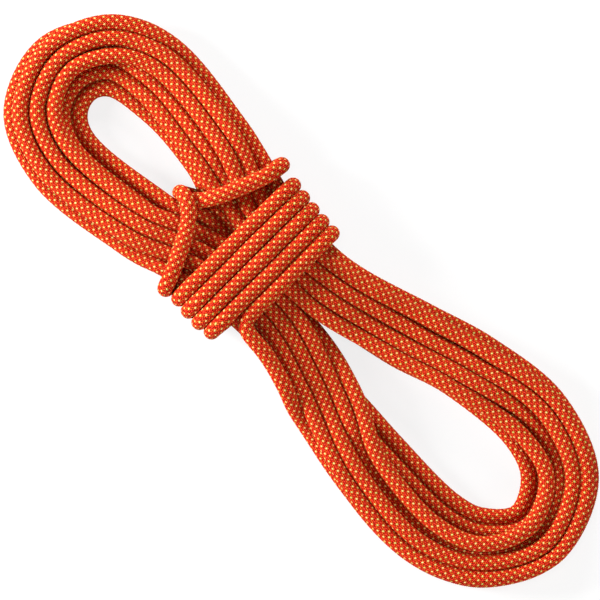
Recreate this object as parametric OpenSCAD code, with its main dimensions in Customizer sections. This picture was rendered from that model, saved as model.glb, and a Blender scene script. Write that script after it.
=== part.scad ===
// A dynamic climbing rope, coiled into a long hank, wrapped at its waist and
// finished with a hitch. The rope is a braided sheath round a core of yarns.
// Millimetres. +X runs along the hank to its wide lobe, +Z is up, and the
// origin is under the middle of the hank, on the surface that it lies on.

/* [Rope] */
// Diameter over the braided sheath
rope_d = 9.5; // [9.2:0.1:9.6]
// Wall of the braided sheath
sheath_wall = 1.2; // [0.9:0.1:1.5]
// Play between the sheath and the core, on the radius
core_play = 0.1; // [0.05:0.05:0.3]
// Least gap between strands that lie side by side
strand_gap = 0.45; // [0.42:0.01:0.6]

/* [Hank] */
// From the first wrap's side of the waist to the centre of the narrow lobe's round end
narrow_x = 158; // [156:1:170]
// From the waist to the centre of the wide lobe's round end
wide_x = 152; // [148:1:165]
// Radius of the outermost loop round the narrow lobe
narrow_r = 60.5; // [60:0.5:66]
// Radius of the outermost loop round the wide lobe
wide_r = 71; // [66:0.5:76]
// How far the wide lobe lies to the left of the narrow one
lobe_offset = 6; // [0:1:8]
// How far the upper layer is laid outwards, in strands
layer_shift = 0.3; // [0.26:0.01:0.4]

/* [Wraps] */
// Number of wraps round the waist
wraps = 5; // [4:5]
// Where the first wrap crosses the top of the hank
wrap_x = -14; // [-15:0.5:-13]

/* [Ends] */
// Length of the sleeve on each end of the rope
sleeve_length = 22; // [16:1:23]
// Wall of an end sleeve, which the sheath is pressed in by
sleeve_wall = 0.25; // [0.15:0.05:0.4]
// Rope that shows between a sleeve and its cap
sleeve_margin = 1; // [0.5:0.5:2]
// Thickness of a melted end cap
cap_t = 1.5; // [1:0.5:2]

/* [Hidden] */
$fn = 48;

rope_r = rope_d / 2;
bore_r = rope_r - sheath_wall;
core_r = bore_r - core_play;
sides = 6;

// A loop has two runs and two round ends
arc_steps = 7;
run_steps = 5;
loop_steps = 2 * (arc_steps + run_steps);
beside = rope_d + strand_gap;
pitch = (beside + 0.1) / cos(90 / arc_steps);
layer = beside + 0.15;
corner_step = 25;
wrap_r = (beside + 0.05) / cos(corner_step / 2);

// Heights of a strand's middle: on the floor, over the wraps' undersides, and on top
floor_z = 0.4 * rope_d;
waist_z = floor_z + wrap_r;
top_z = waist_z + layer + wrap_r;

// Loops are counted from the waist on the side that holds the start
turns = 8;
climb = 4 + 11 / loop_steps;
first_ring = 2;
last_ring = turns * loop_steps - 1;

// Where a run has its rings, from the wide lobe to the narrow one
wide_foot = 72;
waist_right = 0;
waist_left = -56;
narrow_foot = -100;
run_x = [wide_x, wide_foot, waist_right, waist_left, narrow_foot, -narrow_x];

// Where the hank begins to widen to each lobe, and how long it takes to the narrow one
wide_from = -3;
narrow_from = -28;
narrow_flare = 112;

function mix(a, b, k) = a + (b - a) * k;
function ease(k) = (1 - cos(180 * max(0, min(1, k)))) / 2;
function unit(v) = v / norm(v);

// Half width of the outermost loop along a run, the middle between runs, and the rise
bundle_room = 0.6;
waist_half = ((2 * climb - layer_shift) * pitch + bundle_room) / 2;
function half_width(x) =
    x < narrow_from ? mix(waist_half, narrow_r, ease((narrow_from - x) / narrow_flare))
                    : mix(waist_half, wide_r, ease((x - wide_from) / (wide_x - wide_from)));
function middle_y(x) = mix(-lobe_offset / 2, lobe_offset / 2, ease((x + narrow_x) / (wide_x + narrow_x)));
function rise(x) = x < waist_left ? ease((x + narrow_x) / (narrow_x + narrow_foot)) : 1 - ease(x / wide_foot);

// How far in from the outermost loop a strand lies, in strands, and its layer
function in_top(t) = ease((t - climb) * loop_steps / 2 + 0.5);
function inset(t) = climb - abs(t - climb) - layer_shift * pow(in_top(t), 3);

function run_point(x, side, t) =
    [x, middle_y(x) + side * (half_width(x) - inset(t) * pitch),
     floor_z + rise(x) * wrap_r + in_top(t) * layer];
function lobe_point(x, r, a, t) =
    let (reach = r - inset(t) * pitch)
    [x + reach * cos(a), middle_y(x) + reach * sin(a), floor_z + in_top(t) * layer];

// Ring j of the loops: 0 to 3 go along the first run, 3 to 10 round the narrow lobe,
// 10 to 15 back along the second run, 15 to 22 round the wide lobe, and on to the waist
function loop_point(j) =
    let (t = j / loop_steps, k = j - loop_steps * floor(t))
    k <= 3 ? run_point(run_x[k + 2], -1, t)
    : k < 3 + arc_steps ? lobe_point(-narrow_x, narrow_r, 270 - 180 * (k - 3) / arc_steps, t)
    : k <= 8 + arc_steps ? run_point(run_x[8 + arc_steps - k], 1, t)
    : k < 8 + 2 * arc_steps ? lobe_point(wide_x, wide_r, 90 - 180 * (k - 8 - arc_steps) / arc_steps, t)
    : run_point(run_x[k - 8 - 2 * arc_steps], -1, t);

// The start is tucked up under the wraps, where one more loop of the upper layer would lie,
// and comes down to its own place outside the hitch
start_ring = turns * loop_steps + 1;
start_dir = unit(loop_point(start_ring - 1) - loop_point(start_ring));
start_bend = [-72, loop_point(start_ring).y - 4.2, waist_z + layer];
start_foot = [-87, loop_point(first_ring).y + 3.5, waist_z + 0.4 * layer];
hank_start = loop_point(start_ring) + rope_d * start_dir;
hank_end = mix(loop_point(last_ring - 1), loop_point(last_ring), 0.5);
hank_path = concat([hank_start, loop_point(start_ring), start_bend, start_foot],
                   [for (j = [first_ring:last_ring - 1]) loop_point(j)], [hank_end]);

// A strand of a run at any place between the waist and the narrow lobe's flare
function strand(x, side, j) =
    let (far = x < waist_left, k = far ? (waist_left - x) / (waist_left - run_x[4])
                                       : (waist_right - x) / (waist_right - waist_left),
         step = side < 0 ? 1 : -1, from = j + (far ? step : 0))
    mix(loop_point(from), loop_point(from + step), k);
half_turn = 3 + arc_steps + 3;
outer_turn = (turns - 1) * loop_steps;

// The wraps go round the outermost strands of both layers at the waist
function corners(x) =
    [strand(x, 1, outer_turn + half_turn), strand(x, 1, half_turn), strand(x, -1, loop_steps),
     x > waist_left ? strand(x, -1, turns * loop_steps)
                    : mix(loop_point(start_ring), start_bend, (waist_left + 1.5 - x) / (waist_left - start_bend.x))];
function round_corner(c, x, from, to, steps) =
    [for (i = [0:steps])
        let (a = mix(from, to, i / steps)) [x, c.y + wrap_r * cos(a), c.z + wrap_r * sin(a)]];
function lean(low, high) = atan2(abs(low.y) - abs(high.y), high.z - low.z);
function right_side(x) =
    let (c = corners(x), a = lean(c[1], c[0]))
    concat(round_corner(c[0], x, 90, a, 3), round_corner(c[1], x, a, -90, 5));
function left_side(x) =
    let (c = corners(x), a = 180 - lean(c[2], c[3]))
    concat(round_corner(c[2], x, 270, a, 3), round_corner(c[3], x, a, 90, 5));
function last(path) = path[len(path) - 1];
function inside(a, b, steps) = [for (i = [1:steps - 1]) mix(a, b, i / steps)];
function wrap_at(k) = wrap_x - k * layer;
function one_wrap(k) =
    let (right = right_side(wrap_at(k)), left = left_side(wrap_at(k + 1)), next = right_side(wrap_at(k + 1)))
    concat(right, inside(last(right), left[0], 3), left, inside(last(left), next[0], 3));

// From the last loop up on to the top: x, y, and the share of the way up
approach = [for (p = [[50, -43, 0.1], [36, -41.5, 0.35], [22, -41, 0.65], [8, -39.5, 0.92], [-3, -35.5, 1],
                      [-10.5, -28, 1], [-14, -18, 1]])
               [p.x, p.y, mix(waist_z + layer, top_z, p.z)]];
wrap_out = right_side(wrap_at(wraps - 1));
wrap_in = left_side(wrap_at(wraps));
wrap_end = mix(last(wrap_out), wrap_in[0], 0.5);
wrap_dir = unit(wrap_in[0] - wrap_end);
wrap_path = concat([hank_end, loop_point(last_ring)], approach,
                   [for (k = [0:wraps - 2]) each one_wrap(k)], wrap_out,
                   [wrap_end - rope_d * wrap_dir, wrap_end]);

// The hitch: over the left bundle, down through the narrow lobe, under the right
// bundle, back over it and down again: x, y, and the share of the way up
over_left = [[-70, -29, 1], [-76.5, -23, 1], [-84, -17, 1], [-91.5, -12, 0.97], [-98.5, -7.5, 0.86],
             [-103, -4, 0.65], [-104.5, -2, 0.4], [-103, 1, 0.14], [-98.5, 7, 0.01]];
under_right = [[-91, 14, 0], [-85, 22, 0], [-78, 31, 0], [-70.5, 39.5, 0]];
over_right = [[-68, 31, 1], [-73, 24, 1], [-78.5, 16.5, 1], [-83.5, 9, 1], [-87, 3, 0.94], [-89.5, -1.5, 0.76],
              [-90.4, -3.4, 0.5], [-90.8, -3.3, 0.26], [-91, -5.5, 0.08]];
function level(points) = [for (p = points) [p.x, p.y, mix(floor_z, top_z, p.z)]];
tail_start = [-91, -19, rope_r];
tail_dir = unit([-2, -30, 0]);
back_up = right_side(wrap_at(wraps));
hitch_path = concat([wrap_end, wrap_end + rope_d * wrap_dir], wrap_in, level(over_left), level(under_right),
                    [for (i = [len(back_up) - 1:-1:0]) back_up[i]], level(over_right),
                    [tail_start - rope_d * tail_dir, tail_start]);

// Least gap between the strands of one path, or of two, measured at points along them
function off_segment(p, a, b) =
    let (ab = b - a, k = max(0, min(1, (p - a) * ab / (ab * ab)))) norm(p - a - k * ab);
function finer(path) = [for (i = [0:len(path) - 2], k = [0, 0.25, 0.5, 0.75]) mix(path[i], path[i + 1], k)];
function self_gap(path, skip) =
    let (points = finer(path))
    min([for (i = [0:len(points) - 1], j = [floor(i / 4) + skip:1:len(path) - 2])
            off_segment(points[i], path[j], path[j + 1])]) - rope_d;
function pair_gap(a, b, skip) =
    let (points = finer(a))
    min([for (i = [4 * skip:len(points) - 1], j = [0:len(b) - 2]) off_segment(points[i], b[j], b[j + 1])]) - rope_d;

clear_of = 8;
meets = 3;
echo(least_gap_hank = self_gap(hank_path, clear_of));
echo(least_gap_wraps = self_gap(wrap_path, clear_of));
echo(least_gap_hitch = self_gap(hitch_path, clear_of));
echo(gap_wraps_hank = pair_gap(wrap_path, hank_path, meets));
echo(gap_hitch_hank = pair_gap(hitch_path, hank_path, 0));
echo(gap_hitch_wraps = pair_gap(hitch_path, wrap_path, meets));

// Frames and tubes
function tangent(path, i) =
    i == 0 ? unit(path[1] - path[0])
    : i == len(path) - 1 ? unit(path[i] - path[i - 1])
    : unit(unit(path[i + 1] - path[i]) + unit(path[i] - path[i - 1]));
function ring(c, dir, ref, r) =
    let (u = unit(ref - (ref * dir) * dir), v = cross(dir, u))
    [for (k = [0:sides - 1])
        let (p = c + r * (cos(360 * k / sides) * u + sin(360 * k / sides) * v))
        [p.x, p.y, max(p.z, 0)]];
function tube_points(path, refs, r) =
    [for (i = [0:len(path) - 1]) each ring(path[i], tangent(path, i), refs[i], r)];
function wall_faces(rings, from, flip) =
    [for (i = [0:rings - 2], k = [0:sides - 1])
        let (a = from + i * sides + k, b = from + i * sides + (k + 1) % sides, c = a + sides, d = b + sides)
        each flip ? [[a, b, c], [b, d, c]] : [[a, c, b], [b, c, d]]];

module solid_tube(path, refs, r) {
    n = len(path);
    end = (n - 1) * sides;
    polyhedron(tube_points(path, refs, r),
               concat(wall_faces(n, 0, false),
                      [for (k = [1:sides - 2]) [0, k, k + 1]],
                      [for (k = [1:sides - 2]) [end, end + k + 1, end + k]]));
}

module hollow_tube(path, refs, r_out, r_in) {
    n = len(path);
    bore = n * sides;
    end = (n - 1) * sides;
    polyhedron(concat(tube_points(path, refs, r_out), tube_points(path, refs, r_in)),
               concat(wall_faces(n, 0, false), wall_faces(n, bore, true),
                      [for (k = [0:sides - 1]) let (m = (k + 1) % sides)
                          each [[k, m, bore + k], [m, bore + m, bore + k]]],
                      [for (k = [0:sides - 1]) let (m = (k + 1) % sides)
                          each [[end + k, end + bore + k, end + m],
                                [end + m, end + bore + k, end + bore + m]]]));
}

// A level strand's ring has two corners beside it, and a wrap's has them along the hank
hank_refs = [for (i = [0:len(hank_path) - 1]) cross(tangent(hank_path, i), [0, 0, 1])];
wrap_refs = [for (i = [0:len(wrap_path) - 1])
                i < 2 + len(approach) ? cross(tangent(wrap_path, i), [0, 0, 1]) : [1, 0, 0]];
hitch_refs = [for (i = [0:len(hitch_path) - 1]) [1, 0, 0]];

// The origin goes under the middle of the whole outline
outline = concat(tube_points(hank_path, hank_refs, rope_r), tube_points(wrap_path, wrap_refs, rope_r),
                 tube_points(hitch_path, hitch_refs, rope_r));
function centre(axis) = (min([for (p = outline) p[axis]]) + max([for (p = outline) p[axis]])) / 2;
to_origin = [-centre(0), -centre(1), 0];
echo(to_origin = to_origin);

module along(start, dir) {
    translate(start) rotate([0, -asin(dir.z), atan2(dir.y, dir.x)]) rotate([0, 90, 0]) children();
}

// The end of the rope, from where its sleeve begins
press_play = 0.02;
pressed_r = rope_r - sleeve_wall - press_play;
end_length = sleeve_length + sleeve_margin;

module end_sheath() {
    rotate_extrude() polygon([[bore_r, 0], [pressed_r, 0], [pressed_r, sleeve_length], [rope_r, sleeve_length],
                              [rope_r, end_length], [bore_r, end_length]]);
}

module end_yarns() {
    ring_yarns = 10;
    middle_yarns = 3;
    fitted = core_r * sin(180 / ring_yarns) / (1 + sin(180 / ring_yarns));
    yarn_r = fitted - 0.02;
    for (k = [0:ring_yarns - 1]) rotate([0, 0, 360 * k / ring_yarns]) translate([core_r - fitted, 0, 0])
        cylinder(r = yarn_r, h = end_length, $fn = 24);
    for (k = [0:middle_yarns - 1]) rotate([0, 0, 360 * k / middle_yarns])
        translate([fitted / sin(180 / middle_yarns), 0, 0]) cylinder(r = yarn_r, h = end_length, $fn = 24);
}

module end_sleeve() {
    difference() {
        cylinder(r = rope_r, h = sleeve_length);
        translate([0, 0, -1]) cylinder(r = rope_r - sleeve_wall, h = sleeve_length + 2);
    }
}

module end_cap() {
    edge = cap_t / 2;
    translate([0, 0, end_length]) rotate_extrude()
        union() {
            square([rope_r - edge, cap_t]);
            square([rope_r, cap_t - edge]);
            translate([rope_r - edge, cap_t - edge]) circle(edge);
        }
}

module at_start() translate(to_origin) along(hank_start, start_dir) children();
module at_tail() translate(to_origin) along(tail_start, tail_dir) children();

module hank_sheath() color("orangered") translate(to_origin) hollow_tube(hank_path, hank_refs, rope_r, bore_r);
module hank_core() color("ivory") translate(to_origin) solid_tube(hank_path, hank_refs, core_r);
module wrap_sheath() color("orangered") translate(to_origin) hollow_tube(wrap_path, wrap_refs, rope_r, bore_r);
module wrap_core() color("ivory") translate(to_origin) solid_tube(wrap_path, wrap_refs, core_r);
module hitch_sheath() color("orangered") translate(to_origin) hollow_tube(hitch_path, hitch_refs, rope_r, bore_r);
module hitch_core() color("ivory") translate(to_origin) solid_tube(hitch_path, hitch_refs, core_r);

module start_sheath() color("orangered") at_start() end_sheath();
module start_yarns() color("ivory") at_start() end_yarns();
module start_sleeve() color("black") at_start() end_sleeve();
module start_cap() color("saddlebrown") at_start() end_cap();
module tail_sheath() color("orangered") at_tail() end_sheath();
module tail_yarns() color("ivory") at_tail() end_yarns();
module tail_sleeve() color("black") at_tail() end_sleeve();
module tail_cap() color("saddlebrown") at_tail() end_cap();

hank_sheath();
hank_core();
wrap_sheath();
wrap_core();
hitch_sheath();
hitch_core();
start_sheath();
start_yarns();
start_sleeve();
start_cap();
tail_sheath();
tail_yarns();
tail_sleeve();
tail_cap();
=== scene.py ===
"""A dynamic climbing rope: coiled in a long hank, wrapped round its waist and finished with a hitch."""

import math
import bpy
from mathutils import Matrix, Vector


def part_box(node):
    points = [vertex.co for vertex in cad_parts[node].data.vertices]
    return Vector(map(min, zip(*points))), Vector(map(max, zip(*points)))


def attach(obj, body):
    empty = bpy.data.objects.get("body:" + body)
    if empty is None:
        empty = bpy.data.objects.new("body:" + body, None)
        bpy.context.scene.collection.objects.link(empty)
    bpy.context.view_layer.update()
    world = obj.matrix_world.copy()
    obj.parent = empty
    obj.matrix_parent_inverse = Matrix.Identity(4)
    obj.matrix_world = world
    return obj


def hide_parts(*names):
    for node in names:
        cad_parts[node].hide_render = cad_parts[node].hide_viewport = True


bl_info = {
    "name": "Climbing Rope Hank",
    "version": (1, 0, 0),
    "blender": (4, 5, 0),
    "location": "View3D > Sidebar > Rope",
    "description": "Lays a coiled climbing rope, lets it settle and braids its sheath",
    "category": "Add Mesh",
}

import bmesh
import bpy
import numpy as np
from mathutils import Vector

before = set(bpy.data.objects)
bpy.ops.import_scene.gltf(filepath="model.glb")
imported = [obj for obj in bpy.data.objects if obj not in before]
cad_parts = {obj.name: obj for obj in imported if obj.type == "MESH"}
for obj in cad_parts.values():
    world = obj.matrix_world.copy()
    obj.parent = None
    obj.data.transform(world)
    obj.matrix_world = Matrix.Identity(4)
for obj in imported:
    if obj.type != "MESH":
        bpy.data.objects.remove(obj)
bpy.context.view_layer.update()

# The route is written in millimetres from the middle of the hank, and this puts it in the frame.
HANK_PLACE = (0.3948, -2.6798, 0.0)

# The lobes' middles in plan, and the heights of a strand's middle: on the floor, in the waist's two
# layers, and on top of the waist.
NARROW_LOBE = (-160.0, -0.8)
WIDE_LOBE = (152.3, 1.25)
LOW = 4.4
WAIST_LOW = 13.6
WAIST_HIGH = 23.0
WRAP_HIGH = 33.0

# The laid line has a point at every step. Within a reach of the cut ends its first and last points
# are held, and strands that touch are pressed to this share of their thickness. The settled line is
# drawn out finely before it is cut to the braid's steps.
LAY_STEP = 4.0
HELD_POINTS = 12
HELD_REACH = 26
END_SEARCH = 20
PRESSED = 0.975
FINE_STEP = 0.25


# ---------------------------------------------------------------- sizes and colours


def linear(red, green, blue):
    """A colour written from 0 to 255, as the shaders take it."""
    shares = (red / 255, green / 255, blue / 255)
    return tuple(c / 12.92 if c < 0.04045 else ((c + 0.055) / 1.055) ** 2.4 for c in shares)


class RopeSizes(bpy.types.PropertyGroup):
    """The rope's own sizes."""

    diameter: bpy.props.FloatProperty(
        name="Rope diameter",
        description="Thickness of the rope over its sheath",
        default=0.0095,
        min=0.008,
        max=0.011,
        unit="LENGTH",
    )
    strands: bpy.props.IntProperty(
        name="Strands each way",
        description="Braided strands that run round the rope in each of the two directions",
        default=24,
        min=12,
        max=32,
        step=4,
    )
    relief: bpy.props.FloatProperty(
        name="Strand relief",
        description="How far each strand bulges from the sheath where it passes over the others",
        default=0.00012,
        min=0,
        max=0.0003,
        unit="LENGTH",
    )
    settling: bpy.props.IntProperty(
        name="Settling steps",
        description="Steps in which the strands push apart and sink on to each other",
        default=200,
        min=0,
        max=600,
    )


class RopeColours(bpy.types.PropertyGroup):
    """The finishes' colours."""

    sheath: bpy.props.FloatVectorProperty(
        name="Sheath",
        description="Main colour of the braided sheath",
        subtype="COLOR",
        default=linear(202, 8, 0),
    )
    # Painted highlight: the paler colour on the crown of each strand.
    sheath_crown_highlight: bpy.props.FloatVectorProperty(
        name="Sheath crown",
        description="Sheath colour on the crown of a strand",
        subtype="COLOR",
        default=linear(255, 72, 22),
    )
    # Painted highlight on the strands midway between flecks.
    sheath_between_highlight: bpy.props.FloatVectorProperty(
        name="Sheath bright",
        description="Brighter strands midway between flecks",
        subtype="COLOR",
        default=linear(255, 62, 44),
    )
    # Painted shade: the dark colour down between the strands.
    sheath_gap_shade: bpy.props.FloatVectorProperty(
        name="Sheath gap",
        description="Sheath colour down between the strands",
        subtype="COLOR",
        default=linear(36, 0, 0),
    )
    fleck: bpy.props.FloatVectorProperty(
        name="Fleck",
        description="Pale strand that shows as flecks",
        subtype="COLOR",
        default=linear(255, 212, 134),
    )
    sheath_second: bpy.props.FloatVectorProperty(
        name="Second strand",
        description="Orange strands that run from fleck to fleck",
        subtype="COLOR",
        default=linear(232, 104, 30),
    )
    fleck_lime: bpy.props.FloatVectorProperty(
        name="Lime fleck",
        description="Other colour of the flecks",
        subtype="COLOR",
        default=linear(206, 204, 104),
    )
    # Painted shade round the edge of each fleck.
    fleck_edge_shade: bpy.props.FloatVectorProperty(
        name="Fleck edge",
        description="Olive brown at the edge of a fleck",
        subtype="COLOR",
        default=linear(146, 76, 2),
    )
    yarn: bpy.props.FloatVectorProperty(
        name="Core yarn",
        description="Undyed yarns of the core",
        subtype="COLOR",
        default=linear(240, 234, 216),
    )
    sleeve: bpy.props.FloatVectorProperty(
        name="End sleeve",
        description="Shrunk sleeve round a rope end",
        subtype="COLOR",
        default=linear(34, 34, 36),
    )
    cap: bpy.props.FloatVectorProperty(
        name="Melted end",
        description="Melted and set rope end",
        subtype="COLOR",
        default=linear(150, 66, 34),
    )


class StageLook(bpy.types.PropertyGroup):
    """The floor, the lamps and the camera."""

    floor: bpy.props.FloatVectorProperty(
        name="Floor",
        description="Colour of the floor",
        subtype="COLOR",
        default=linear(245, 245, 245),
    )
    floor_bounce: bpy.props.FloatVectorProperty(
        name="Floor bounce",
        description="Colour in which the floor lights the rope",
        subtype="COLOR",
        default=linear(150, 150, 150),
    )
    lamp: bpy.props.FloatProperty(
        name="Lamps",
        description="Power of the soft lamps together",
        default=126,
        min=0,
        unit="POWER",
    )
    sky: bpy.props.FloatProperty(
        name="Sky",
        description="Strength of the even light from all round",
        default=0.09,
        min=0,
    )
    view_width: bpy.props.FloatProperty(
        name="View width",
        description="Width of floor that the camera takes in",
        default=0.36,
        min=0.1,
        unit="LENGTH",
    )
    camera_height: bpy.props.FloatProperty(
        name="Camera height",
        description="Height of the camera over the floor",
        default=3.0,
        min=1,
        unit="LENGTH",
    )


# ---------------------------------------------------------------- the rope's route

# Each loop of the hank, in millimetres: where its line crosses named places.
# First side, y at x = 0, -56, -78 and -100.
# Narrow lobe, radius at 270, 225, 180, 135 and 90 degrees.
# Second side, y at x = -100, -78, -56, 0, 60 and 100.
# Wide lobe, radius at 90, 45, 0, -45 and -90 degrees, and the first side again, y at x = 100 and 60.
# The first loop starts at its fourth place.
LOOPS = (
    (
        0, 0, 0, -52.3,
        58.5, 59.2, 56.5, 50.5, 46,
        40, 36, 31, 24, 39.5, 51.5,
        55.8, 55.8, 54.3, 50.5, 51.5, -49.5, -41.5,
    ),
    (
        -34.8, -38, -40.5, -43,
        48.5, 48.5, 45.6, 41.2, 37.5,
        31.5, 27, 21.5, 14.3, 26.5, 38.5,
        38, 38, 39, 31, 30, -28, -27.5,
    ),
    (
        -24, -27.5, -30.3, -33,
        38.5, 38, 35.4, 32.6, 29.4,
        23, 18.5, 14, 4.8, 14, 26.3,
        29.1, 28.6, 30.2, 22.7, 21.2, -20.8, -17.8,
    ),
    (
        -14, -16, -20, -24,
        29.5, 27.6, 25.8, 24.4, 22,
        15.5, 11, 7.8, 1, 15.5, 27.5,
        35.4, 39, 41.5, 40, 40, -34, -16,
    ),
    (
        -5, -4.8, -2.4, -15.8,
        22, 18.4, 16.6, 15.8, 17.2,
        11.2, 4, 5.5, 10.2, 24.5, 36.5,
        45.3, 47, 47.5, 46, 49.5, -42.5, -25.5,
    ),
    (
        -6.5, -9, -16.2, -26.3,
        32.2, 33, 34, 33.2, 37.8,
        32, 24, 15.5, 19.7, 34.6, 46.2,
        55.4, 56, 55, 51.5, 54.3, -50, -35,
    ),
    (
        -16.5, -18.5, -27, -36,
        42.6, 43.5, 43.5, 44, 47,
        41.5, 34, 26, 27.5, 45.5, 57,
        62.7, 62, 63.5, 58.5, 59.5, -56, -45,
    ),
    (
        -26, -28, -36.6, -45.5,
        52.4, 53.5, 53.2, 53.2, 54.3,
        48, 43, 37, 33.3, 49.5, 61.3,
        65.4, 65.5, 63.7, 59, 60.7, -58.5, -51.3,
    ),
)
# How high each loop lies, from 0 in the lower layer to 1 in the upper one: on the first side,
# round the narrow lobe, at x = -100 and -78 on the second side, there at x = -56, at x = 0,
# and round the wide lobe with both its runs.
LAYERS = (
    (0, 0, 0, 0, 0, 0),
    (0, 0, 0, 0, 0, 0),
    (0, 0, 0.85, 0, 0, 0),
    (0, 0, 0.5, 1, 1, 1),
    (0, 0, 0, 0, 1, 0.6),
    (1, 1, 1, 1, 1, 1),
    (1, 1, 1, 1, 1, 1),
    (1, 1, 0.3, 0, 0, 0.1),
)

# The run in which the last loop turns up on to the waist.
APPROACH = (
    (30, -42.5, 24),
    (16, -38.8, 27),
    (5, -36.8, 30),
    (-4, -36, 32),
    (-10, -34.6, WRAP_HIGH),
    (-13.8, -31, WRAP_HIGH),
    (-15, -25, WRAP_HIGH),
    (-15, -12, WRAP_HIGH),
    (-15, 4, WRAP_HIGH),
)
# Each wrap: its place along the waist, and how far its tips reach to either side. The last one goes
# on into the hitch, so it has no second tip.
WRAPS = (
    (-15, 40.6, -50.3),
    (-24.2, 40.7, -51.6),
    (-33.2, 41.2, -51.2),
    (-42.2, 41.8, -49.8),
    (-51.4, 43, 0),
)
WRAP_STEP = 9.1

# A wrap's way over the top and under the waist, as places across it, and its way round a tip from the
# top to the underside: how far along the waist, how far inside the tip, and how high.
WRAP_OVER = (-20, -3, 15)
WRAP_UNDER = (12, -20)
WRAP_TIP = (
    (0, 10, WRAP_HIGH - 0.6),
    (0, 3, 28.5),
    (0, 0, 19),
    (0, 2.5, 9.5),
    (0.8, 10, LOW + 0.4),
)

# The hitch: up round the side of one bundle and over it, down between the two, under the other one
# and up round its side, back over it, and down between them again to the last end.
HITCH = (
    (-60.5, -41, 4.8),
    (-61, -49.5, 9.5),
    (-61.3, -51.8, 19),
    (-62.3, -49.5, 28.5),
    (-65, -42, 33),
    (-71, -29.5, 33.5),
    (-75.8, -20, 33.5),
    (-81.5, -12, 33),
    (-87.5, -6.8, 31.5),
    (-92.5, -5, 27.5),
    (-94.8, -5.6, 20.5),
    (-94.8, -6.4, 12.5),
    (-92.3, -6.2, 6),
    (-87.2, -3.8, 4.4),
    (-80.6, -1.8, 4.4),
    (-76.6, 6, 4.4),
    (-75, 18, 4.4),
    (-72, 32, 4.6),
    (-67.3, 43, 7.8),
    (-65, 48.3, 18),
    (-64.8, 46.5, 27),
    (-66, 39, 32),
    (-69.5, 29, 33.3),
    (-73.3, 19.5, 33.3),
    (-77.2, 10, 32.5),
    (-80.8, 3, 30),
    (-83.4, -1.2, 25.5),
    (-84.6, -3, 19.5),
    (-85.6, -5.8, 13.2),
    (-87.6, -12, 6.6),
)


def ease(share):
    """A smooth step from 0 to 1."""
    return (1 - math.cos(math.pi * min(max(share, 0), 1))) / 2


def on_lobe(centre, radius, degrees):
    """A point of a lobe in plan."""
    turn = math.radians(degrees)
    return centre[0] + radius * math.cos(turn), centre[1] + radius * math.sin(turn)


def loop_points(row, layers):
    """One loop's points, in the order in which the rope runs."""
    waist, narrow, narrow_run, neck, back, wide = layers
    plan = [(x, y, waist) for x, y in zip((0, -56, -78, -100), row[:4])]
    plan += [(*on_lobe(NARROW_LOBE, r, a), narrow) for r, a in zip(row[4:8], (270, 225, 180, 135))]
    plan.append((*on_lobe(NARROW_LOBE, row[8], 90), (narrow + narrow_run) / 2))
    plan += zip((-100, -78, -56, 0), row[9:13], (narrow_run, narrow_run, neck, back))
    plan += [(x, y, wide) for x, y in zip((60, 100), row[13:15])]
    plan += [(*on_lobe(WIDE_LOBE, r, a), wide) for r, a in zip(row[15:20], (90, 45, 0, -45, -90))]
    plan += [(100, row[20], wide), (60, row[21], wide)]
    return [(x, y, height_of(x, share)) for x, y, share in plan]


# Where the strands rise from the narrow lobe, over what length, where the waist's middle is, and over
# what length from x = 0 they come down to the wide lobe.
NARROW_FOOT = -150
NARROW_RISE = 50
WAIST_MIDDLE = -28
WIDE_FALL = 72


def height_of(x, share):
    """How high a strand lies: on the floor at the lobes, and on the wraps' undersides at the waist."""
    if x < WAIST_MIDDLE:
        lift = ease((x - NARROW_FOOT) / NARROW_RISE)
    else:
        lift = 1 - ease(x / WIDE_FALL)
    return LOW + lift * (WAIST_LOW - LOW) + share * (WAIST_HIGH - WAIST_LOW)


def hank_points():
    """The way down from the first end, and the eight loops."""
    points = [(-60, -42.6, 24), (-72, -44.5, 22.5), (-86, -48.8, 17.5)]
    for number, (row, layers) in enumerate(zip(LOOPS, LAYERS)):
        points += loop_points(row, layers)[3 if number == 0 else 0 :]
    return points


def wrap_points():
    """The run up on to the waist, and the wraps: over the top, down round the right tip, back under
    the waist, and up round the left tip to the next."""
    points = list(APPROACH)
    for number, (x, right, left) in enumerate(WRAPS):
        back = x - WRAP_STEP
        points += [(x, y, WRAP_HIGH) for y in WRAP_OVER[0 if number else -1 :]]
        points += [(x - along, right - inside, high) for along, inside, high in WRAP_TIP]
        points += [((2 * x + back) / 3, WRAP_UNDER[0], LOW), ((x + 2 * back) / 3, WRAP_UNDER[1], LOW)]
        if number < len(WRAPS) - 1:
            points += [(back + along, left + inside, high) for along, inside, high in WRAP_TIP[::-1]]
    return points


# How far apart a smooth line's points are before they are set at even steps.
SPAN_STEP = 0.5


def smooth_line(keys, step):
    """A smooth line through the keys, a centripetal Catmull-Rom curve, as points at even steps."""
    keys = np.array(keys, float)
    keys = np.vstack([2 * keys[0] - keys[1], keys, 2 * keys[-1] - keys[-2]])
    spans = []
    for p0, p1, p2, p3 in zip(keys, keys[1:], keys[2:], keys[3:]):
        t1 = np.linalg.norm(p1 - p0) ** 0.5
        t2 = t1 + np.linalg.norm(p2 - p1) ** 0.5
        t3 = t2 + np.linalg.norm(p3 - p2) ** 0.5
        count = max(2, int(np.linalg.norm(p2 - p1) / SPAN_STEP))
        t = np.linspace(t1, t2, count, endpoint=False)[:, None]
        a1 = ((t1 - t) * p0 + t * p1) / t1
        a2 = ((t2 - t) * p1 + (t - t1) * p2) / (t2 - t1)
        a3 = ((t3 - t) * p2 + (t - t2) * p3) / (t3 - t2)
        b1 = ((t2 - t) * a1 + t * a2) / t2
        b2 = ((t3 - t) * a2 + (t - t1) * a3) / (t3 - t1)
        spans.append(((t2 - t) * b1 + (t - t1) * b2) / (t2 - t1))
    spans.append(keys[-2:-1])
    return even_steps(np.vstack(spans), step)


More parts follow.
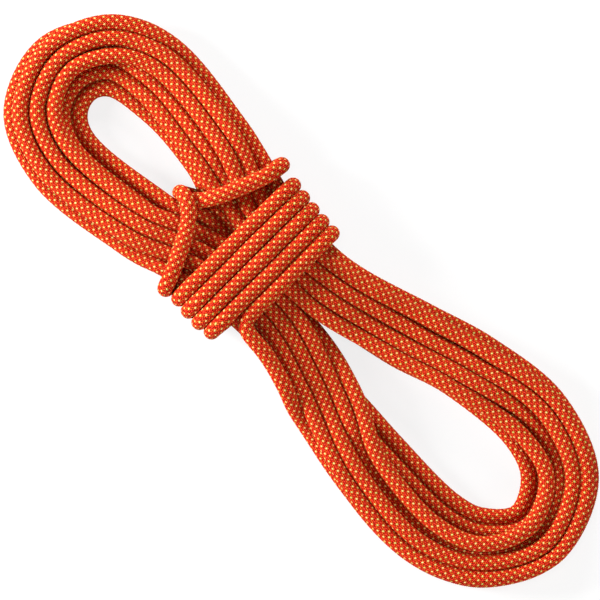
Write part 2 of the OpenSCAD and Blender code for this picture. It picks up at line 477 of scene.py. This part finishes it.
def even_steps(line, step):
    """The same line with its points at even steps."""
    run = np.concatenate([[0], np.cumsum(np.linalg.norm(np.diff(line, axis=0), axis=1))])
    where = np.linspace(0, run[-1], int(round(run[-1] / step)) + 1)
    return np.stack([np.interp(where, run, line[:, axis]) for axis in range(3)], axis=1)


# How the rope settles. Near strands are looked for every few steps, a little past touching and some
# thicknesses apart along the rope. A point with many neighbours takes a smaller share of their
# pushes. Each step pulls the line back to its place in plan, in height and in its bends, and down.
NEAR_EVERY = 8
NEAR_REACH = 5
NEAR_APART = 2.2
PUSH_COUNT = 0.6
PUSH_POWER = 0.6
KEEP_PLACE = 0.03
KEEP_HEIGHT = 0.01
KEEP_BEND = 0.5
SINK = 0.03


def settle(line, held, thick, steps, step):
    """Lets the laid rope settle: its strands push each other apart and sink on to the floor and
    each other, bend as stiffly as they were laid, and stay near their places. Held points don't move."""
    home = line.copy()
    order = np.arange(len(line))
    apart = int(math.ceil(NEAR_APART * thick / step))
    bend = np.zeros_like(line)
    bend[1:-1] = (home[:-2] + home[2:]) / 2 - home[1:-1]
    for count in range(steps):
        if count % NEAR_EVERY == 0:
            plan = ((line[:, None, :2] - line[None, :, :2]) ** 2).sum(-1)
            near = plan < (thick + NEAR_REACH) ** 2
            one, other = np.nonzero(near & (order[None, :] - order[:, None] > apart))
        way = line[other] - line[one]
        gap = np.linalg.norm(way, axis=1)
        touch = gap < thick
        push = ((thick - gap[touch]) / np.maximum(gap[touch], 1e-6) / 2)[:, None] * way[touch]
        move = np.zeros_like(line)
        pushes = np.ones(len(line))
        np.add.at(move, one[touch], -push)
        np.add.at(move, other[touch], push)
        np.add.at(pushes, one[touch], PUSH_COUNT)
        np.add.at(pushes, other[touch], PUSH_COUNT)
        line = line + move / pushes[:, None] ** PUSH_POWER
        line[:, :2] += (home[:, :2] - line[:, :2]) * KEEP_PLACE
        line[:, 2] += (home[:, 2] - line[:, 2]) * KEEP_HEIGHT - SINK
        line[1:-1] += KEEP_BEND * ((line[:-2] + line[2:]) / 2 - line[1:-1] - bend[1:-1])
        line[:, 2] = np.maximum(line[:, 2], LOW)
        line[held] = home[held]
    return line


# The route, once it is worked out.
ROUTE = {}


def end_face(node, axis, side):
    """The middle of an end piece's high or low face along an axis, in millimetres from the middle
    of the hank."""
    low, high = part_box(node)
    middle = [(a + b) * 500 for a, b in zip(low, high)]
    middle[axis] = (high if side > 0 else low)[axis] * 1000
    return np.array(middle) - HANK_PLACE


def rope_route():
    """The settled line of the whole rope in metres, at the braid's own steps, and where each
    stretch of it begins."""
    if ROUTE:
        return ROUTE
    sizes = bpy.context.scene.rope_sizes
    thick = sizes.diameter * 1000
    first_face = end_face("start_sheath", 0, -1)
    first_cap = end_face("start_cap", 0, 1)
    last_face = end_face("tail_sheath", 1, 1)
    last_cap = end_face("tail_cap", 1, -1)
    wraps = wrap_points()
    keys = [first_cap, first_face] + hank_points() + wraps + list(HITCH) + [last_face, last_cap]
    laid = smooth_line(keys, LAY_STEP)
    held = np.linalg.norm(laid - first_cap, axis=1) < HELD_REACH
    held |= np.linalg.norm(laid - last_cap, axis=1) < HELD_REACH
    order = np.arange(len(laid))
    held &= (order < HELD_POINTS) | (order > len(laid) - HELD_POINTS)
    line = settle(laid, held, PRESSED * thick, sizes.settling, LAY_STEP)

    def nearest(place, after=0, before=None):
        return after + int(np.argmin(np.linalg.norm(laid[after:before] - place, axis=1)))

    begin = nearest(first_face, 0, END_SEARCH)
    end = nearest(last_face, len(laid) - END_SEARCH)
    wraps_from = nearest(wraps[0], len(laid) // 2)
    hitch_from = nearest(HITCH[0], wraps_from)
    fine = smooth_line(line[begin : end + 1], FINE_STEP)
    strand = math.pi * thick / sizes.strands
    fine = even_steps(fine, strand / 2)
    share = (len(fine) - 1) / (end - begin)
    ROUTE["line"] = (fine + HANK_PLACE) / 1000
    ROUTE["wraps"] = int((wraps_from - begin) * share)
    ROUTE["hitch"] = int((hitch_from - begin) * share)
    ROUTE["strand"] = strand / 1000
    return ROUTE


# ---------------------------------------------------------------- the braided tube


def rope_tube(name, points, diameter, sides, roll):
    """A closed mesh tube with one ring of vertices at each point, rolled about its own line."""
    curve = bpy.data.curves.new(name, "CURVE")
    curve.dimensions = "3D"
    curve.bevel_depth = diameter / 2
    curve.bevel_resolution = sides // 2 - 2
    spline = curve.splines.new("POLY")
    spline.points.add(len(points) - 1)
    spline.points.foreach_set("co", np.hstack([points, np.ones((len(points), 1))]).ravel())
    spline.points.foreach_set("tilt", np.full(len(points), roll))
    holder = bpy.data.objects.new(name, curve)
    mesh = bpy.data.meshes.new_from_object(holder)
    bpy.data.objects.remove(holder)
    bpy.data.curves.remove(curve)
    mesh.name = name
    solid = bmesh.new()
    solid.from_mesh(mesh)
    solid.verts.ensure_lookup_table()
    solid.faces.new(solid.verts[:sides])
    solid.faces.new(solid.verts[-sides:])
    bmesh.ops.recalc_face_normals(solid, faces=solid.faces)
    solid.to_mesh(mesh)
    solid.free()
    return mesh


def vertices_of(mesh):
    """The mesh's vertices as an array."""
    places = np.empty(len(mesh.vertices) * 3)
    mesh.vertices.foreach_get("co", places)
    return places.reshape(-1, 3)


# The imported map, in rings and sides: the room round a strip, where the two end faces' middles are,
# their radius, and the height of the row that they are in.
MAP_MARGIN = 3
MAP_ENDS = (14.0, 40.0)
MAP_END_RADIUS = 8
MAP_END_ROW = 24


def stretch_maps(mesh, rings, sides, first_ring):
    """Gives a tube the braid's own map, in strands along and round it, and a map of packed strips."""
    corner = np.empty(len(mesh.loops), int)
    mesh.loops.foreach_get("vertex_index", corner)
    starts = np.empty(len(mesh.polygons), int)
    totals = np.empty(len(mesh.polygons), int)
    mesh.polygons.foreach_get("loop_start", starts)
    mesh.polygons.foreach_get("loop_total", totals)
    face = np.repeat(np.arange(len(starts)), totals)
    ring = corner // sides
    side = corner % sides
    low_side = np.full(len(starts), sides)
    high_side = np.zeros(len(starts), int)
    np.minimum.at(low_side, face, side)
    np.maximum.at(high_side, face, side)
    quad = totals[face] == 4
    wraps_round = quad & (low_side[face] == 0) & (high_side[face] == sides - 1)
    side = np.where(wraps_round & (side == 0), sides, side)
    braid = np.stack([(ring + first_ring) / 2, side / 2], axis=1)

    pitch = sides + 2 * MAP_MARGIN
    strips = max(1, int(round(math.sqrt(rings / pitch))))
    strip_rings = int(math.ceil((rings - 1) / strips))
    low_ring = np.full(len(starts), rings)
    np.minimum.at(low_ring, face, ring)
    strip = np.minimum(low_ring // strip_rings, strips - 1)[face]
    across = ring - strip * strip_rings + MAP_MARGIN
    up = strip * pitch + side + MAP_MARGIN
    turn = 2 * math.pi * side / sides
    at_end = np.where(ring == 0, *MAP_ENDS)
    across = np.where(quad, across, at_end + MAP_END_RADIUS * np.cos(turn))
    up = np.where(quad, up, strips * pitch + MAP_END_ROW / 2 + MAP_END_RADIUS * np.sin(turn))
    extent = max(strip_rings + 2 * MAP_MARGIN, strips * pitch + MAP_END_ROW)
    strips_map = np.stack([across, up], axis=1) / extent
    for old in list(mesh.uv_layers):
        mesh.uv_layers.remove(old)
    for map_name, values in (("OFBake", strips_map), ("Braid", braid)):
        layer = mesh.uv_layers.new(name=map_name)
        layer.uv.foreach_set("vector", values.astype(np.float32).ravel())


# How well two rings' first sides have to agree.
AGREEING = 0.999


def braided_piece(name, first, last, roll):
    """One stretch of rope as a piece of its own, with the braid's relief in its surface. Its first
    side points along roll, and it returns where its last ring's first side points."""
    sizes = bpy.context.scene.rope_sizes
    sides = sizes.strands * 2
    points = rope_route()["line"][first : last + 1]
    mesh = rope_tube(name, points, sizes.diameter, sides, 0.0)
    if roll is not None:
        ring = vertices_of(mesh)[:sides] - points[0]
        along = (points[1] - points[0]) / np.linalg.norm(points[1] - points[0])
        turn = math.atan2(np.dot(np.cross(ring[0], roll), along), np.dot(ring[0], roll))
        bpy.data.meshes.remove(mesh)
        mesh = rope_tube(name, points, sizes.diameter, sides, turn)
        ring = vertices_of(mesh)[:sides] - points[0]
        if np.dot(ring[0], roll) < AGREEING * np.dot(roll, roll):
            bpy.data.meshes.remove(mesh)
            mesh = rope_tube(name, points, sizes.diameter, sides, -turn)
    places = vertices_of(mesh)
    rings = len(points)
    out = places - np.repeat(points, sides, axis=0)
    end_out = out[-sides].copy()
    ring = np.repeat(np.arange(first, last + 1), sides)
    side = np.tile(np.arange(sides), rings)
    bulge = np.where(ring % 2 == 0, 1, -1) * np.cos(side * math.pi / 2) * sizes.relief
    places += out / np.linalg.norm(out, axis=1)[:, None] * bulge[:, None]
    places[:, 2] = np.maximum(places[:, 2], 0)
    mesh.vertices.foreach_set("co", places.ravel())
    stretch_maps(mesh, rings, sides, first)
    mesh.shade_smooth()
    mesh.update()
    piece = bpy.data.objects.new(name, mesh)
    bpy.context.scene.collection.objects.link(piece)
    mesh.materials.append(sheath_finish())
    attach(piece, "root")
    return piece, end_out


def braided_stretch(name, first, last, pieces, roll, nodes):
    """A stretch of rope in so many equal pieces, which stand for its plain solids."""
    cuts = [first + 2 * ((last - first) * i // pieces // 2) for i in range(pieces)] + [last]
    for number, (begin, end) in enumerate(zip(cuts, cuts[1:]), 1):
        piece, roll = braided_piece(f"{name}_{number}", begin, end, roll)
        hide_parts(*nodes)
    return roll


# ---------------------------------------------------------------- finishes


class Wiring:
    """Adds linked shader nodes in few words."""

    def __init__(self, tree):
        self.tree = tree

    def node(self, kind, inputs=(), **settings):
        made = self.tree.nodes.new(kind)
        for name, value in settings.items():
            setattr(made, name, value)
        for key, value in dict(inputs).items():
            self.feed(made.inputs[key], value)
        return made

    def feed(self, socket, value):
        if isinstance(value, bpy.types.NodeSocket):
            self.tree.links.new(value, socket)
        else:
            socket.default_value = value

    def math(self, operation, *values):
        made = self.tree.nodes.new("ShaderNodeMath")
        made.operation = operation
        for socket, value in zip(made.inputs, values):
            self.feed(socket, value)
        return made.outputs[0]

    def choose(self, share, one, other):
        return self.math("MULTIPLY_ADD", share, self.math("SUBTRACT", other, one), one)

    def spread(self, value, low, high):
        """From low to high as the value goes from 0 to 1."""
        return self.math("MULTIPLY_ADD", value, high - low, low)

    def ramp(self, value, gain, start=0.0, most=1.0):
        """The value times a gain, moved by a start, and kept from 0 to the most."""
        raised = self.math("MAXIMUM", self.math("MULTIPLY_ADD", value, gain, start), 0.0)
        return self.math("MINIMUM", raised, most)

    def noise(self, place, scale, detail, distortion=0.0):
        settings = {"Vector": place, "Scale": scale, "Detail": detail, "Distortion": distortion}
        return self.node("ShaderNodeTexNoise", settings).outputs["Fac"]

    def raise_by(self, shader, level, strength, distance):
        """Raises a surface by a level, as bump."""
        settings = {"Height": level, "Strength": strength, "Distance": distance}
        self.feed(shader.inputs["Normal"], self.node("ShaderNodeBump", settings).outputs[0])

    def mix(self, share, one, other):
        made = self.tree.nodes.new("ShaderNodeMix")
        made.data_type = "RGBA"
        self.feed(made.inputs[0], share)
        for socket, value in ((made.inputs[6], one), (made.inputs[7], other)):
            self.feed(socket, value if isinstance(value, bpy.types.NodeSocket) else (*value, 1))
        return made.outputs[2]


def new_finish(name):
    """An empty material with its wiring and its surface shader."""
    material = bpy.data.materials.new(name)
    material.use_nodes = True
    wiring = Wiring(material.node_tree)
    shader = material.node_tree.nodes["Principled BSDF"]
    return material, wiring, shader


# The map is moved a little each way, which brings the strands' crowns to where the mesh bulges, and
# the left strands' numbers are moved off the right ones'.
BULGE_SHIFT = 0.25
LEFT_NUMBERS = 0.37

# How round a strand is across it and along its run over the others, as powers. Flecks come every few
# strands each way. The shifts, to the right and to the left, bring a fleck's middle to the middle of its
# cell, or the place midway between flecks where a highlight is painted, and the reaches say how many
# strands each takes up.
SIDE_ROUNDING = 2.0
TIP_ROUNDING = 2.6
FLECK_EVERY = 4.0
FLECK_SHIFTS = (1.5, 2.0)
FLECK_REACHES = (1.0, 1.2)
BETWEEN_SHIFTS = (3.5, 0.0)
BETWEEN_REACHES = (1.15, 1.35)


def braid_pattern(w, along, around):
    """The two-over-two braid from places along and round the rope, counted in strands.
    Gives a strand's height from 0 to 1, its own number, whether it is of the second colour, how near
    a place is to a fleck's middle and to the place midway between two flecks, and the fleck's tone."""
    along = w.math("ADD", along, BULGE_SHIFT)
    around = w.math("ADD", around, BULGE_SHIFT)
    right = w.math("ADD", along, around)
    left = w.math("SUBTRACT", along, around)
    right_number = w.math("FLOOR", right)
    left_number = w.math("FLOOR", left)
    right_place = w.math("SUBTRACT", right, right_number)
    left_place = w.math("SUBTRACT", left, left_number)
    step = w.math("FLOORED_MODULO", w.math("SUBTRACT", right_number, left_number), 4.0)
    left_on_top = w.math("GREATER_THAN", step, 1.5)
    second = w.math("FLOORED_MODULO", step, 2.0)
    across = w.choose(left_on_top, right_place, left_place)
    right_run = w.math("MULTIPLY", w.math("SUBTRACT", w.math("ADD", left_place, 1.0), second), 0.5)
    left_run = w.math("MULTIPLY", w.math("ADD", right_place, second), 0.5)
    run = w.choose(left_on_top, right_run, left_run)
    side = w.math("ABSOLUTE", w.math("MULTIPLY_ADD", across, 2.0, -1.0))
    tip = w.math("ABSOLUTE", w.math("MULTIPLY_ADD", run, 2.0, -1.0))
    round_side = w.math("SUBTRACT", 1.0, w.math("POWER", side, SIDE_ROUNDING))
    round_tip = w.math("SUBTRACT", 1.0, w.math("POWER", tip, TIP_ROUNDING))
    height = w.math("MULTIPLY", round_side, round_tip)
    number = w.choose(left_on_top, right_number, w.math("ADD", left_number, LEFT_NUMBERS))
    right_second = w.math("LESS_THAN", w.math("FLOORED_MODULO", right_number, FLECK_EVERY), 0.5)
    left_turn = w.math("FLOORED_MODULO", w.math("ADD", left_number, 1.0), FLECK_EVERY)
    left_second = w.math("LESS_THAN", left_turn, 1.5)
    second_colour = w.choose(left_on_top, right_second, left_second)

    def near(shifts, reaches):
        offs = []
        for place, shift, reach in zip((right, left), shifts, reaches):
            turn = w.math("FLOORED_MODULO", w.math("ADD", place, shift), FLECK_EVERY)
            off = w.math("DIVIDE", w.math("SUBTRACT", turn, FLECK_EVERY / 2), reach)
            offs.append(w.math("POWER", w.math("ABSOLUTE", off), 2.0))
        return w.math("MAXIMUM", w.math("SUBTRACT", 1.0, w.math("SQRT", w.math("ADD", *offs))), 0.0)

    def cell(place, shift):
        return w.math("FLOOR", w.math("MULTIPLY", w.math("ADD", place, shift), 1 / FLECK_EVERY))

    fleck = near(FLECK_SHIFTS, FLECK_REACHES)
    between = near(BETWEEN_SHIFTS, BETWEEN_REACHES)
    cells = [cell(place, shift) for place, shift in zip((right, left), FLECK_SHIFTS)]
    corner = w.node("ShaderNodeCombineXYZ", {0: cells[0], 1: cells[1]}).outputs[0]
    tone = w.node("ShaderNodeTexWhiteNoise", {"Vector": corner}, noise_dimensions="3D")
    return height, number, second_colour, fleck, between, tone.outputs["Value"]


# The sheath's colours: from a dull to a bright strand, the share of the painted highlight on its crown;
# the shares of the second colour and of the painted highlight midway between flecks; how sharply that
# highlight, a fleck's rim of painted shade and its heart begin; and how the brightness goes from patch
# to patch.
CROWN_HIGHLIGHT_SHARES = (0.5, 1.0)
SECOND_SHARE = 0.65
BETWEEN_HIGHLIGHT_SHARE = 0.8
BETWEEN_HIGHLIGHT_EDGE = 2.2
FLECK_RIM_SHADE = 3.6
FLECK_HEART = (3.2, -0.55)
PATCH_SCALE = 38.0
PATCH_VALUES = (0.85, 1.15)

# Its relief: the fibres and a fleck as shares of a strand's height, and that height in metres.
FIBRE_SCALE = 2600.0
FIBRE_RELIEF = 0.12
FLECK_RELIEF = 0.45
BRAID_RELIEF = 0.0003


def sheath_shader(w, shader, along, around, places):
    """Colours and raises the braid on a surface, with painted shade down between the strands and round
    the flecks, and painted highlights on the strands' crowns and midway between flecks.
    """
    colours = bpy.context.scene.rope_colours
    height, number, second, fleck, between, tone = braid_pattern(w, along, around)
    strand_tone = w.node("ShaderNodeTexWhiteNoise", {"W": number}, noise_dimensions="1D")
    # Painted shade: low is how far a place is up out of the dark gaps between the strands; the second
    # colour, the painted highlight between flecks and the flecks all fade into that shade.
    low = w.ramp(height, 1.1)
    high = w.ramp(height, 2.0, -1.0)
    # Painted highlight: the paler crown of each strand, stronger on some strands than on others.
    crown = w.math("MULTIPLY", high, w.spread(strand_tone.outputs["Value"], *CROWN_HIGHLIGHT_SHARES))
    second = w.math("MULTIPLY", second, w.math("MULTIPLY", low, SECOND_SHARE))
    # Painted highlight on the strands midway between flecks.
    bright = w.math("MULTIPLY", w.ramp(between, BETWEEN_HIGHLIGHT_EDGE), w.math("MULTIPLY", low, BETWEEN_HIGHLIGHT_SHARE))
    # Painted shade: the dark colour down between the strands.
    red = w.mix(low, tuple(colours.sheath_gap_shade), tuple(colours.sheath))
    red = w.mix(crown, red, tuple(colours.sheath_crown_highlight))
    red = w.mix(second, red, tuple(colours.sheath_second))
    red = w.mix(bright, red, tuple(colours.sheath_between_highlight))
    # Painted shade: an olive brown rim round each fleck.
    rim = w.ramp(fleck, FLECK_RIM_SHADE)
    heart = w.ramp(fleck, *FLECK_HEART)
    pale = w.mix(w.math("POWER", tone, 2.0), tuple(colours.fleck), tuple(colours.fleck_lime))
    # The flecks fade into the painted shade between the strands.
    shown = w.math("MULTIPLY", heart, w.spread(low, 0.4, 1.0))
    colour = w.mix(shown, w.mix(rim, red, tuple(colours.fleck_edge_shade)), pale)
    patch = w.noise(places, PATCH_SCALE, 2.0)
    wear = w.node("ShaderNodeHueSaturation", {"Color": colour, "Value": w.spread(patch, *PATCH_VALUES)})
    w.feed(shader.inputs["Base Color"], wear.outputs[0])
    w.feed(shader.inputs["Roughness"], w.spread(height, 0.65, 0.5))
    shader.inputs["Specular IOR Level"].default_value = 0.05
    fibres = w.math("MULTIPLY_ADD", w.noise(places, FIBRE_SCALE, 1.0), FIBRE_RELIEF, height)
    level = w.math("MAXIMUM", fibres, w.math("MULTIPLY", heart, FLECK_RELIEF))
    w.raise_by(shader, level, 1.0, BRAID_RELIEF)


def sheath_finish():
    """The braided sheath, drawn on the rope's own map."""
    ready = bpy.data.materials.get("braided_sheath")
    if ready:
        return ready
    material, w, shader = new_finish("braided_sheath")
    braid = w.node("ShaderNodeUVMap", uv_map="Braid").outputs[0]
    split = w.node("ShaderNodeSeparateXYZ", {"Vector": braid})
    places = w.node("ShaderNodeTexCoord").outputs["Object"]
    sheath_shader(w, shader, split.outputs[0], split.outputs[1], places)
    return material


def end_braid(w, first, last):
    """Places along and round a straight end of the rope, in strands, and the piece's own coordinates."""
    strand = rope_route()["strand"]
    axis = Vector(last - first).normalized()
    side = axis.cross(Vector((0, 0, 1))).normalized()
    up = side.cross(axis)
    place = w.node("ShaderNodeTexCoord").outputs["Object"]
    start = Vector(first + HANK_PLACE) / 1000

    def measured(way, share):
        dot = w.node("ShaderNodeVectorMath", {0: place, 1: tuple(way)}, operation="DOT_PRODUCT")
        return w.math("MULTIPLY", w.math("SUBTRACT", dot.outputs["Value"], way.dot(start)), share)

    turn = w.math("ARCTAN2", measured(up, 1.0), measured(side, 1.0))
    strands = bpy.context.scene.rope_sizes.strands
    return measured(axis, 1 / strand), w.math("MULTIPLY", turn, strands / (2 * math.pi)), place


def end_sheath_finish(name, first, last):
    """The same braid where an end's sheath is pressed on to its yarns."""
    material, w, shader = new_finish(name)
    sheath_shader(w, shader, *end_braid(w, first, last))
    return material


# The yarns' threads: their slant along the rope, how fine they are, how dark the painted shade between
# them is, and the share and the colour of age.
YARN_TWIST = 2.2
YARN_THREADS = 5.2
YARN_PAINTED_SHADE = 0.55
YARN_AGE = 0.3
YARN_AGED = linear(214, 196, 150)


def yarn_finish(name, first, last):
    """Undyed yarns, each twisted from fine threads."""
    material, w, shader = new_finish(name)
    colours = bpy.context.scene.rope_colours
    along, around, place = end_braid(w, first, last)
    slant = w.math("MULTIPLY_ADD", along, YARN_TWIST, around)
    thread = w.math("SINE", w.math("MULTIPLY", slant, YARN_THREADS))
    groove = w.spread(thread, 0.5, 1.0)
    # Painted shade: the yarn is darker down in the grooves between its threads.
    colour = w.mix(groove, tuple(YARN_PAINTED_SHADE * c for c in colours.yarn), tuple(colours.yarn))
    aged = w.mix(w.math("MULTIPLY", w.noise(place, 160.0, 3.0), YARN_AGE), colour, YARN_AGED)
    w.feed(shader.inputs["Base Color"], aged)
    w.feed(shader.inputs["Roughness"], w.spread(groove, 0.75, 0.55))
    w.raise_by(shader, thread, 0.5, 0.0001)
    return material


# The colours of a sleeve's rubbed places and of a melted end's charred ones.
SLEEVE_WORN = linear(78, 76, 76)
CAP_CHARRED = linear(58, 22, 12)


def sleeve_finish():
    """A matt shrunk sleeve: the braid presses through it, and its edges are rubbed."""
    material, w, shader = new_finish("shrunk_sleeve")
    colours = bpy.context.scene.rope_colours
    place = w.node("ShaderNodeTexCoord").outputs["Object"]
    grain = w.noise(place, 1500.0, 3.0)
    dents = w.node("ShaderNodeTexVoronoi", {"Vector": place, "Scale": 700.0}).outputs["Distance"]
    worn = w.ramp(w.noise(place, 240.0, 4.0), 5.0, start=-2.9, most=0.6)
    w.feed(shader.inputs["Base Color"], w.mix(worn, tuple(colours.sleeve), SLEEVE_WORN))
    w.feed(shader.inputs["Roughness"], w.spread(grain, 0.42, 0.72))
    w.raise_by(shader, w.math("MULTIPLY_ADD", grain, 0.3, dents), 0.4, 0.0002)
    return material


def cap_finish():
    """A melted and set end: dark and glossy, with drawn threads and small bubbles."""
    material, w, shader = new_finish("melted_cap")
    colours = bpy.context.scene.rope_colours
    place = w.node("ShaderNodeTexCoord").outputs["Object"]
    flow = w.noise(place, 420.0, 4.0, distortion=1.2)
    bubbles = w.node("ShaderNodeTexVoronoi", {"Vector": place, "Scale": 900.0}).outputs["Distance"]
    charred = w.ramp(flow, 4.0, start=-1.6)
    w.feed(shader.inputs["Base Color"], w.mix(charred, tuple(colours.cap), CAP_CHARRED))
    w.feed(shader.inputs["Roughness"], w.spread(flow, 0.16, 0.51))
    w.raise_by(shader, w.math("MULTIPLY_ADD", bubbles, 0.35, flow), 0.7, 0.0005)
    return material


# ---------------------------------------------------------------- operators


# The camera's sensor in millimetres, and how far it sees in metres.
SENSOR_WIDTH = 36
CLIP_END = 20

# How many equal pieces each stretch of the rope is made in.
LOOP_PIECES = 8
WRAP_PIECES = 5
HITCH_PIECES = 2


class ROPE_OT_camera(bpy.types.Operator):
    """Set the camera straight over the hank, turned an eighth"""

    bl_idname = "rope.camera"
    bl_label = "Camera"

    def execute(self, context):
        look = context.scene.stage_look
        data = bpy.data.cameras.new("camera")
        data.sensor_width = SENSOR_WIDTH
        data.lens = SENSOR_WIDTH * look.camera_height / look.view_width
        data.clip_end = CLIP_END
        camera = bpy.data.objects.new("camera", data)
        camera.location = (HANK_PLACE[0] / 1000, HANK_PLACE[1] / 1000, look.camera_height)
        camera.rotation_euler = (0, 0, math.radians(45))
        context.scene.collection.objects.link(camera)
        context.scene.camera = camera
        return {"FINISHED"}


class ROPE_OT_hank_loops(bpy.types.Operator):
    """Braid the eight loops of the hank"""

    bl_idname = "rope.hank_loops"
    bl_label = "Hank Loops"

    def execute(self, context):
        route = rope_route()
        route["roll"] = braided_stretch(
            "hank_loop", 0, route["wraps"], LOOP_PIECES, None, ("hank_sheath", "hank_core")
        )
        return {"FINISHED"}


class ROPE_OT_waist_wraps(bpy.types.Operator):
    """Braid the wraps round the waist"""

    bl_idname = "rope.waist_wraps"
    bl_label = "Waist Wraps"

    def execute(self, context):
        route = rope_route()
        first, last, roll = route["wraps"], route["hitch"], route["roll"]
        route["roll"] = braided_stretch(
            "waist_wrap", first, last, WRAP_PIECES, roll, ("wrap_sheath", "wrap_core")
        )
        return {"FINISHED"}


class ROPE_OT_hitch(bpy.types.Operator):
    """Braid the hitch beside the wraps"""

    bl_idname = "rope.hitch"
    bl_label = "Hitch"

    def execute(self, context):
        route = rope_route()
        first, last, roll = route["hitch"], len(route["line"]) - 1, route["roll"]
        braided_stretch("hitch_turn", first, last, HITCH_PIECES, roll, ("hitch_sheath", "hitch_core"))
        return {"FINISHED"}


class ROPE_OT_ends(bpy.types.Operator):
    """Finish the two cut ends"""

    bl_idname = "rope.ends"
    bl_label = "Ends"

    def execute(self, context):
        ends = {
            "start": (end_face("start_sheath", 0, -1), end_face("start_cap", 0, 1)),
            "tail": (end_face("tail_sheath", 1, 1), end_face("tail_cap", 1, -1)),
        }
        sleeve = sleeve_finish()
        cap = cap_finish()
        for end, (first, last) in ends.items():
            finishes = {
                "sheath": end_sheath_finish(f"{end}_end_sheath", first, last),
                "yarns": yarn_finish(f"{end}_end_yarns", first, last),
                "sleeve": sleeve,
                "cap": cap,
            }
            for piece, finish in finishes.items():
                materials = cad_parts[f"{end}_{piece}"].data.materials
                materials.clear()
                materials.append(finish)
        return {"FINISHED"}


# The floor's width, and the share of plain white that the camera sees in it.
FLOOR_SIZE = 6
FLOOR_GLOW = 0.8

# Each lamp's name, place, width and share of the power.
LAMPS = (
    ("key", (-1.3, -0.9, 0.58), 0.6, 0.46),
    ("second", (-1.1, 1.2, 0.6), 0.6, 0.26),
    ("third", (1.2, 1.1, 0.62), 0.7, 0.1),
    ("fourth", (1.1, -1.2, 0.62), 0.7, 0.16),
    ("overhead", (-0.2, 0, 1.8), 0.6, 0.05),
)


class ROPE_OT_stage(bpy.types.Operator):
    """Make the floor and the soft light"""

    bl_idname = "rope.stage"
    bl_label = "Stage"

    def execute(self, context):
        scene = context.scene
        look = scene.stage_look
        bpy.ops.mesh.primitive_plane_add(size=FLOOR_SIZE)
        floor = context.active_object
        floor.name = "floor"
        material, w, shader = new_finish("floor")
        camera_ray = w.node("ShaderNodeLightPath").outputs["Is Camera Ray"]
        colour = w.mix(camera_ray, tuple(look.floor_bounce), tuple(look.floor))
        w.feed(shader.inputs["Base Color"], colour)
        shader.inputs["Roughness"].default_value = 0.9
        shader.inputs["Specular IOR Level"].default_value = 0.1
        seen = w.math("MULTIPLY", camera_ray, FLOOR_GLOW)
        glow = w.node("ShaderNodeEmission", {"Strength": 1.0})
        both = w.node("ShaderNodeMixShader", {0: seen, 1: shader.outputs[0], 2: glow.outputs[0]})
        output = material.node_tree.nodes["Material Output"]
        w.feed(output.inputs["Surface"], both.outputs[0])
        floor.data.materials.append(material)
        world = bpy.data.worlds.new("soft_sky")
        scene.world = world
        world.use_nodes = True
        sky = world.node_tree.nodes["Background"]
        sky.inputs["Color"].default_value = (1, 1, 1, 1)
        sky.inputs["Strength"].default_value = look.sky
        for name, place, size, share in LAMPS:
            data = bpy.data.lights.new(name, "AREA")
            data.shape = "DISK"
            data.size = size
            data.energy = look.lamp * share
            lamp = bpy.data.objects.new(name, data)
            lamp.location = place
            lamp.rotation_euler = (-Vector(place)).to_track_quat("-Z", "Y").to_euler()
            scene.collection.objects.link(lamp)
        scene.view_settings.view_transform = "Standard"
        return {"FINISHED"}


class ROPE_PT_panel(bpy.types.Panel):
    """The rope's steps and sizes"""

    bl_label = "Climbing Rope"
    bl_idname = "ROPE_PT_panel"
    bl_space_type = "VIEW_3D"
    bl_region_type = "UI"
    bl_category = "Rope"

    def draw(self, context):
        for group in (context.scene.rope_sizes, context.scene.rope_colours, context.scene.stage_look):
            for name in group.__annotations__:
                self.layout.prop(group, name)
        for step in STEPS:
            self.layout.operator(step.bl_idname)


STEPS = (
    ROPE_OT_camera,
    ROPE_OT_hank_loops,
    ROPE_OT_waist_wraps,
    ROPE_OT_hitch,
    ROPE_OT_ends,
    ROPE_OT_stage,
)
CLASSES = (RopeSizes, RopeColours, StageLook, *STEPS, ROPE_PT_panel)


def register():
    for cls in CLASSES:
        bpy.utils.register_class(cls)
    bpy.types.Scene.rope_sizes = bpy.props.PointerProperty(type=RopeSizes)
    bpy.types.Scene.rope_colours = bpy.props.PointerProperty(type=RopeColours)
    bpy.types.Scene.stage_look = bpy.props.PointerProperty(type=StageLook)


def unregister():
    del bpy.types.Scene.stage_look
    del bpy.types.Scene.rope_colours
    del bpy.types.Scene.rope_sizes
    for cls in reversed(CLASSES):
        bpy.utils.unregister_class(cls)


def main():
    register()
    bpy.ops.rope.camera()
    bpy.ops.rope.hank_loops()
    bpy.ops.rope.waist_wraps()
    bpy.ops.rope.hitch()
    bpy.ops.rope.ends()
    bpy.ops.rope.stage()


if __name__ == "__main__":
    main()
